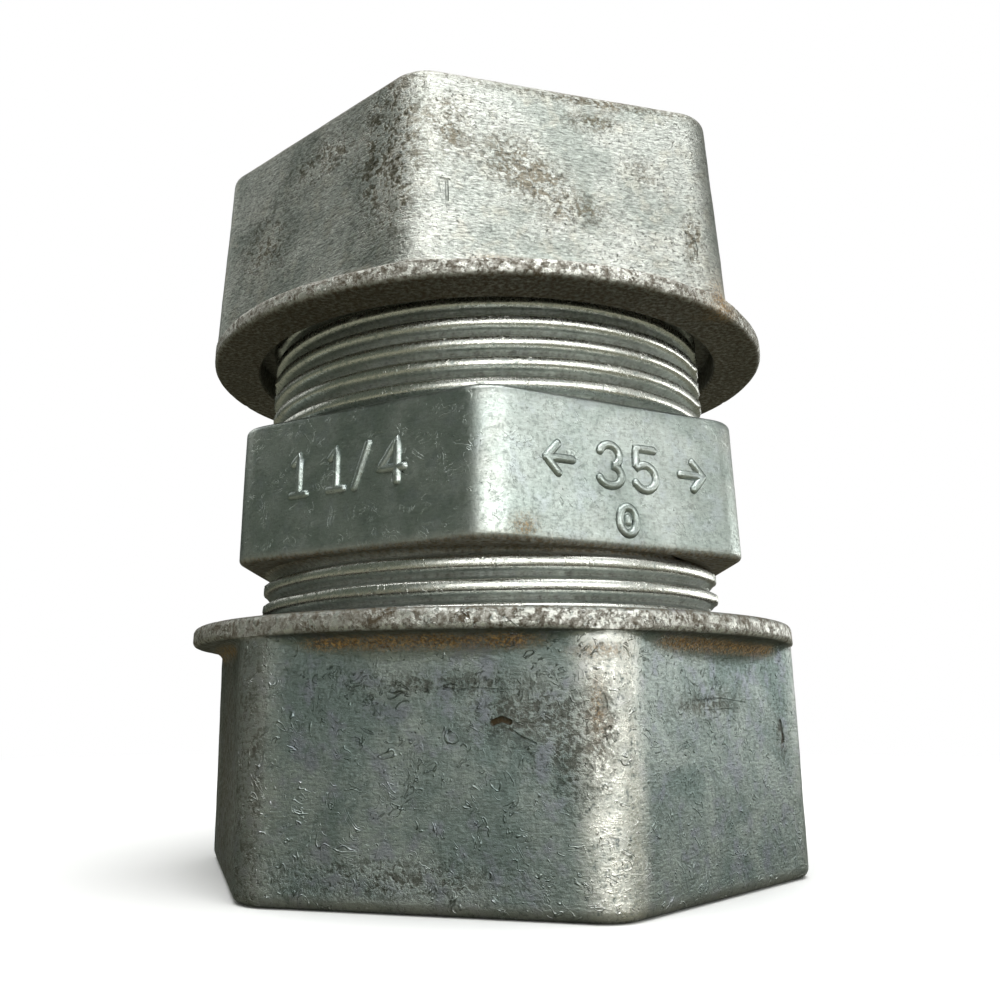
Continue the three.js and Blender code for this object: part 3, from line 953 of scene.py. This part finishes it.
LOWER_STAINS_AND_SHADE = (
    Patch(LEFT_FLAT, at=(8.4, 12.7), half_size=(2.6, 1.5)),
    Patch(LEFT_FLAT, at=(5.4, 12.9), half_size=(1.5, 0.8)),
    Patch(LEFT_FLAT, at=(10.6, 10.2), half_size=(1.6, 2.4)),
    Patch(LEFT_FLAT, at=(1.0, 15.0), half_size=(5.0, 0.6)),
    Patch(LEFT_FLAT, at=(-3.0, 2.2), half_size=(7.0, 1.0)),
    Patch(RIGHT_FLAT, at=(-2.0, 13.6), half_size=(3.5, 0.7)),
    Patch(RIGHT_FLAT, at=(9.6, 11.0), half_size=(0.8, 1.3)),
    Patch(NEAR_CORNER, at=(-0.8, 12.6), half_size=(0.8, 2.4)),
    # Painted shade over the whole far-left side.
    Patch(FAR_LEFT_FLAT, at=(0.0, 9.0), half_size=(16.0, 16.0)),
)
UPPER_RUST = (
    Patch(RIGHT_FLAT, at=(13.6, 47.4), half_size=(0.9, 1.4)),
    Patch(RIGHT_FLAT, at=(14.2, 46.2), half_size=(2.0, 0.8)),
)
LOWER_RUST = (
    Patch(NEAR_CORNER, at=(-1.2, 13.6), half_size=(0.35, 1.6)),
    Patch(NEAR_CORNER, at=(-0.6, 17.2), half_size=(1.6, 0.4)),
)
# Painted shade over the far-left side of the nut.
SHADED_SIDE = (
    Patch(FAR_LEFT_FLAT, at=(0.0, NUT_LENGTH / 2), half_size=(15.0, 16.0)),
)
# The least distance of a nut's flats from its axis, less a little for its cast waves.
NUT_FACE_DISTANCE = 23.5


def below_flats(positions, depth, turn):
    """How far under a nut's flats each point lies: more than about 0.1 in a scar."""
    sixth = TURN / HEX_SIDES
    azimuth = np.arctan2(positions[:, 1], positions[:, 0])
    from_flat = np.remainder(azimuth - turn + sixth / 2, sixth) - sixth / 2
    return nut_apothem(depth) - radii(positions) * np.cos(from_flat)


def patches_on(positions, turn, patches):
    """All the patches of one kind on a nut's sides."""
    return sum(blob(positions, side + turn, NUT_FACE_DISTANCE, at, size) for side, at, size in patches)


def paint_nut(
        nut, turn, upside_down, seed, stains, rust_spots, rust_dust, corner_wear_and_sheen, end_wear, side_shade):
    """Wear on the edges and rim, and on the near corner partly wear and partly a painted highlight; dirt at
    the flange; painted shade on the mouth face, inside and on the far-left side; darker along the end edge
    and in the scars; rust and stains.
    """
    positions = vertex_array(nut)
    radius = radii(positions)
    depth = OVERALL_LENGTH - positions[:, 2] if upside_down else positions[:, 2]
    from_corner = corner_distance(positions, turn)
    patch = np.clip(0.5 + 0.6 * noise_field(positions, 2.2, seed), 0, 1)
    fine = np.clip(0.5 + 0.8 * noise_field(positions, 0.9, seed + 5), 0, 1)
    hex_length = NUT_LENGTH - FLANGE_THICKNESS
    outside = smooth_step(NUT_MOUTH_RADIUS + 0.2, NUT_MOUTH_RADIUS + 0.4, radius)
    flange = smooth_step(hex_length - 0.3, hex_length + 0.1, depth)
    corner = (1 - smooth_step(0.03, 0.13, from_corner)) * (1 - flange)
    to_near_corner = positions @ face_axes(NEAR_CORNER + turn)[0] / radius
    # Corner wear is kept to the corner facing the camera, so it is partly wear and partly a painted
    # highlight.
    corner *= smooth_step(0.3, 0.95, to_near_corner)
    end_edge = 1 - smooth_step(0.2, 1.3, depth)
    rim_edge = flange * smooth_step(FLANGE_RADIUS - 0.5, FLANGE_RADIUS - 0.15, radius)
    rim_edge *= 1 - smooth_step(0.7, 1.1, np.abs(depth - hex_length - 0.5))
    wear_and_sheen = outside * np.maximum(corner_wear_and_sheen * corner, end_wear * end_edge) * (0.45 + 0.75 * patch)
    wear_and_sheen = np.maximum(wear_and_sheen, 0.85 * outside * rim_edge)
    crease = outside * (1 - flange) * np.exp(-((depth - (hex_length - 0.6)) / 0.45) ** 2)
    crease *= smooth_step(0.12, 0.26, from_corner)
    # Painted shade on the flange's end face round the mouth.
    mouth_face_shade = smooth_step(NUT_LENGTH - 0.35, NUT_LENGTH - 0.02, depth) * smooth_step(27.6, 27.1, radius)
    sunk = smooth_step(0.08, 0.15, below_flats(positions, depth, turn))
    sunk *= smooth_step(0.1, 0.13, from_corner) * outside * (1 - flange)
    sunk *= smooth_step(0.8, 1.2, depth)
    stained = patches_on(positions, turn, stains)
    rusty = patches_on(positions, turn, rust_spots)
    # Painted shade on the far-left side.
    shaded_side = outside * patches_on(positions, turn, SHADED_SIDE)
    # Dirt and rust dust in the crease and dirt on the flange, mixed with painted shade.
    dirt_and_shade = np.maximum.reduce([
        # Painted shade inside the nut and on the mouth face, darker in the scars, and painted shade on the
        # far-left side.
        0.75 * crease, 1.7 * mouth_face_shade, 0.8 * (1 - outside), sunk, side_shade * shaded_side,
        # Darker along the end edge.
        (0.85 - end_wear) * end_edge * outside * (1 - 0.6 * patch),
        flange * outside * (0.75 + 0.25 * patch),
    ])
    store(nut, "wear_and_sheen", wear_and_sheen)
    store(nut, "dirt_and_shade", dirt_and_shade)
    store(nut, "rust", np.maximum(crease * rust_dust * (0.6 + 0.8 * patch), 0.6 * rusty))
    store(nut, "stain", stained * (0.55 + 0.7 * fine))


def paint_body(body):
    """Wear on corners, wear and a painted highlight on the thread crests, painted shade in the roots and
    inside, dirt under the hexagon, and one rust spot.
    """
    positions = vertex_array(body)
    radius = radii(positions)
    height = positions[:, 2]
    from_corner = corner_distance(positions, 0.0)
    patch = np.clip(0.5 + 0.6 * noise_field(positions, 2.0, 41), 0, 1)
    in_hexagon = smooth_step(BODY_HEX_BOTTOM - 0.2, BODY_HEX_BOTTOM, height)
    in_hexagon *= smooth_step(BODY_HEX_TOP + 0.2, BODY_HEX_TOP, height)
    outside = smooth_step(20.0, 20.5, radius)
    corner = 1 - smooth_step(0.02, 0.10, from_corner)
    crest = smooth_step(CREST_RADIUS - 0.35, CREST_RADIUS - 0.05, radius)
    burr = smooth_step(CREST_RADIUS + 0.04, CREST_RADIUS + 0.12, radius)
    # Painted shade in the thread roots.
    root = 1 - smooth_step(ROOT_RADIUS + 0.1, ROOT_RADIUS + 0.6, radius)
    low_edge = np.exp(-((height - BODY_HEX_BOTTOM) / 0.45) ** 2)
    threads = (1 - in_hexagon) * outside
    # Lighter thread crests: partly wear, partly a painted highlight.
    thread_wear_and_sheen = threads * np.maximum(np.maximum(0.9 * crest, burr), 0.3)
    wear_and_sheen = np.maximum(0.4 * corner * in_hexagon * outside * patch, thread_wear_and_sheen)
    # Painted shade in the thread roots and inside the bore; dirt under the hexagon and in patches.
    dirt_and_shade = np.maximum.reduce([
        0.55 * root * threads, 0.85 * low_edge * outside, 0.5 * (1 - outside),
        0.25 * in_hexagon * outside * patch ** 2,
    ])
    rust_spot = blob(positions, RIGHT_FLAT, BODY_APOTHEM, (-9.4, 26.4), (0.9, 0.7))
    store(body, "wear_and_sheen", wear_and_sheen)
    store(body, "dirt_and_shade", dirt_and_shade)
    store(body, "rust", np.maximum(0.3 * low_edge * outside, 0.7 * rust_spot))
    store(body, "stain", rust_spot * 0.5)


# -------- pieces

body = coupling_body("body_casting")
lower_nut = compression_nut("lower_nut_casting", LOWER_NUT_TURN, False, 3, LOWER_SCARS)
upper_nut = compression_nut("upper_nut_casting", UPPER_NUT_TURN, True, 7, UPPER_SCARS)
lower_ring = compression_ring("lower_gland_ring", False)
upper_ring = compression_ring("upper_gland_ring", True)

paint_body(body)
paint_nut(
    lower_nut, LOWER_NUT_TURN, False, 13, LOWER_STAINS_AND_SHADE, LOWER_RUST,
    rust_dust=1.35, corner_wear_and_sheen=0.95, end_wear=0.4, side_shade=0.7,
)
paint_nut(
    upper_nut, UPPER_NUT_TURN, True, 17, UPPER_STAINS, UPPER_RUST,
    rust_dust=0.5, corner_wear_and_sheen=0.25, end_wear=0.1, side_shade=0.0,
)

# Dark, light, tint and what a stain multiplies them by.
BODY_COLOURS = (
    (0.41, 0.47, 0.445, 1), (0.555, 0.61, 0.585, 1), (0.47, 0.52, 0.54, 1), (0.4, 0.3, 0.2, 1),
)
LOWER_COLOURS = (
    (0.195, 0.245, 0.235, 1), (0.325, 0.37, 0.355, 1), (0.26, 0.27, 0.33, 1), (0.36, 0.31, 0.27, 1),
)
UPPER_COLOURS = (
    (0.29, 0.315, 0.29, 1), (0.46, 0.475, 0.445, 1), (0.38, 0.375, 0.325, 1), (0.32, 0.25, 0.16, 1),
)

body_zinc = zinc(
    "body_zinc", BODY_COLOURS, roughness=0.34, skin=0.4, wrinkles=0.3, streaks=0.25, pitting=0.6,
    shift=(0, 0, 0),
)
lower_zinc = zinc(
    "lower_zinc", LOWER_COLOURS, roughness=0.36, skin=0.8, wrinkles=0.9, streaks=0.3, pitting=0.8,
    shift=(9, 4, 2),
)
upper_zinc = zinc(
    "upper_zinc", UPPER_COLOURS, roughness=0.33, skin=0.85, wrinkles=0.12, streaks=0.7, pitting=1.5,
    shift=(3, 8, 5),
)
ring_steel = steel("ring_steel")

for piece, owner, node, material, slot in (
    (body, "body", "coupling_body", body_zinc, "cast_zinc_bright"),
    (lower_nut, "lower_nut", "lower_compression_nut", lower_zinc, "cast_zinc"),
    (upper_nut, "upper_nut", "upper_compression_nut", upper_zinc, "cast_zinc"),
    (lower_ring, "lower_ring", "lower_compression_ring", ring_steel, "ring_steel"),
    (upper_ring, "upper_ring", "upper_compression_ring", ring_steel, "ring_steel"),
):
    piece.data.materials.clear()
    piece.data.materials.append(material)
    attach(piece, owner)
    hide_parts(node)


# -------- floor, lights and camera

FLOOR_RADIUS = 1500.0
FLOOR_THICKNESS = 2.0
FLOOR_STEPS = 96
FLOOR_FADE = (70.0, 260.0)
FLOOR_DIM = (0.15, 0.15, 0.115, 1)


def floor():
    """A pale round floor that fades into the white background, and is darker in reflections."""
    ground = turned("floor", [(FLOOR_RADIUS, -FLOOR_THICKNESS), (FLOOR_RADIUS, 0.0)], FLOOR_STEPS)
    material = bpy.data.materials.new("pale_floor")
    n = Nodes(material)
    mm = n.millimetres()
    paleness = n.between(n.noise(mm, 0.02, 2.0), 0.3, 0.7, 0.80, 0.83)
    seen = n.node("LightPath").outputs["Is Camera Ray"]
    pale = n.add("BsdfDiffuse", Color=paleness)
    dim = n.add("BsdfDiffuse", Color=FLOOR_DIM)
    lit = n.shader_mix(seen, dim.outputs[0], pale.outputs[0])
    glow = n.add("Emission", Color=grey(1.0), Strength=1.0)
    reach = n.node("VectorMath")
    reach.operation = "LENGTH"
    n.put(reach.inputs[0], mm)
    fade = n.between(reach.outputs["Value"], *FLOOR_FADE)
    n.surface(n.shader_mix(n.times(fade, seen), lit, glow.outputs[0]))
    ground.data.materials.append(material)


ROOM_AMBIENT = (0.085, 0.10, 0.078, 1)
PANEL_COLOUR = (1.0, 1.0, 0.975, 1)


def soft_panel(n, azimuth, elevation, at, size, softness, strength, lean=0.0):
    """How bright a soft-edged panel is in each direction.

    at, size and softness are (azimuth, elevation) pairs in degrees. Azimuth 0 is -Y, the camera's
    side, and 90 is +X. lean is how far the panel shifts across for each degree up.
    """
    centre = n.math("ADD", n.times(n.math("SUBTRACT", elevation, float(at[1])), lean), at[0])
    off = n.node("Math")
    off.operation = "WRAP"
    n.put(off.inputs[0], n.math("SUBTRACT", azimuth, centre))
    off.inputs[1].default_value = 180
    off.inputs[2].default_value = -180
    sideways = n.math("ABSOLUTE", off.outputs[0])
    upways = n.math("ABSOLUTE", n.math("SUBTRACT", elevation, float(at[1])))
    across = n.between(sideways, size[0] / 2 - softness[0], size[0] / 2 + softness[0], 1.0, 0.0)
    above = n.between(upways, size[1] / 2 - softness[1], size[1] / 2 + softness[1], 1.0, 0.0)
    return n.times(n.times(across, above), strength)


def surroundings():
    """A dim room with soft bright panels for reflections, and a white background."""
    world = bpy.data.worlds.new("room")
    bpy.context.scene.world = world
    n = Nodes(world, "World")
    direction = n.node("SeparateXYZ")
    n.put(direction.inputs[0], n.add("TexCoord").outputs["Generated"])
    x, y, z = direction.outputs
    azimuth = n.times(n.math("ARCTAN2", x, n.times(y, -1.0)), math.degrees(1))
    elevation = n.times(n.math("ARCSINE", z), math.degrees(1))
    view = (n, azimuth, elevation)
    window = soft_panel(*view, at=(67, 36), size=(54, 40), softness=(5, 12), strength=0.58, lean=-0.8)
    horizon = soft_panel(*view, at=(24, 6), size=(82, 20), softness=(13, 8), strength=4.4)
    sky = soft_panel(*view, at=(15, 68), size=(120, 22), softness=(15, 10), strength=1.2)
    right = soft_panel(*view, at=(118, -1), size=(54, 18), softness=(10, 6), strength=5.1)
    left = soft_panel(*view, at=(-122, 34), size=(36, 24), softness=(14, 12), strength=1.9)
    behind = soft_panel(*view, at=(146, 22), size=(56, 80), softness=(18, 30), strength=0.45)
    strength = window
    for panel in (horizon, sky, right, left, behind):
        strength = n.math("MAXIMUM", strength, panel)
    panels = n.add("Background", Color=PANEL_COLOUR, Strength=strength)
    ambient = n.add("Background", Color=ROOM_AMBIENT, Strength=1.0)
    room = n.node("AddShader")
    n.put(room.inputs[0], panels.outputs[0])
    n.put(room.inputs[1], ambient.outputs[0])
    white = n.add("Background", Color=grey(1.0), Strength=1.0)
    seen = n.node("LightPath").outputs["Is Camera Ray"]
    n.surface(n.shader_mix(seen, room.outputs[0], white.outputs[0]))


def softbox(name, azimuth, elevation, distance, size, power):
    """A soft light aimed at the coupling's middle, with azimuths as for soft_panel. Sizes in metres."""
    lamp = bpy.data.lights.new(name, "AREA")
    lamp.shape = "SQUARE"
    lamp.size = size
    lamp.energy = power
    light = placed(name, lamp)
    a, e = math.radians(azimuth), math.radians(elevation)
    away = Vector((math.sin(a) * math.cos(e), -math.cos(a) * math.cos(e), math.sin(e)))
    light.location = Vector((0, 0, OVERALL_LENGTH / 2 * MM)) + away * distance
    light.rotation_mode = "QUATERNION"
    light.rotation_quaternion = away.to_track_quat("Z", "Y")


# Where the photo was taken from, in millimetres, fitted to its outline.
CAMERA_DISTANCE = 96.5
CAMERA_HEIGHT = 13.2
CAMERA_LENS = 34.94
CAMERA_SHIFT = (0.053, -0.115)
CAMERA_TILT = math.radians(18.56)
CAMERA_PAN = math.radians(-2.37)
CAMERA_ROLL = math.radians(0.13)


def camera():
    data = bpy.data.cameras.new("camera")
    data.sensor_width = 36
    data.lens = CAMERA_LENS
    data.shift_x, data.shift_y = CAMERA_SHIFT
    data.clip_start = 0.001
    data.clip_end = 20
    eye = placed("camera", data)
    eye.location = Vector((0, -CAMERA_DISTANCE, CAMERA_HEIGHT)) * MM
    forward = Vector((
        math.sin(CAMERA_PAN) * math.cos(CAMERA_TILT),
        math.cos(CAMERA_PAN) * math.cos(CAMERA_TILT),
        math.sin(CAMERA_TILT),
    ))
    eye.rotation_mode = "QUATERNION"
    eye.rotation_quaternion = Quaternion(forward, CAMERA_ROLL) @ forward.to_track_quat("-Z", "Y")
    bpy.context.scene.camera = eye


floor()
surroundings()
softbox("overhead", azimuth=30, elevation=78, distance=0.9, size=1.1, power=16.0)
camera()
bpy.context.scene.view_settings.view_transform = "Standard"
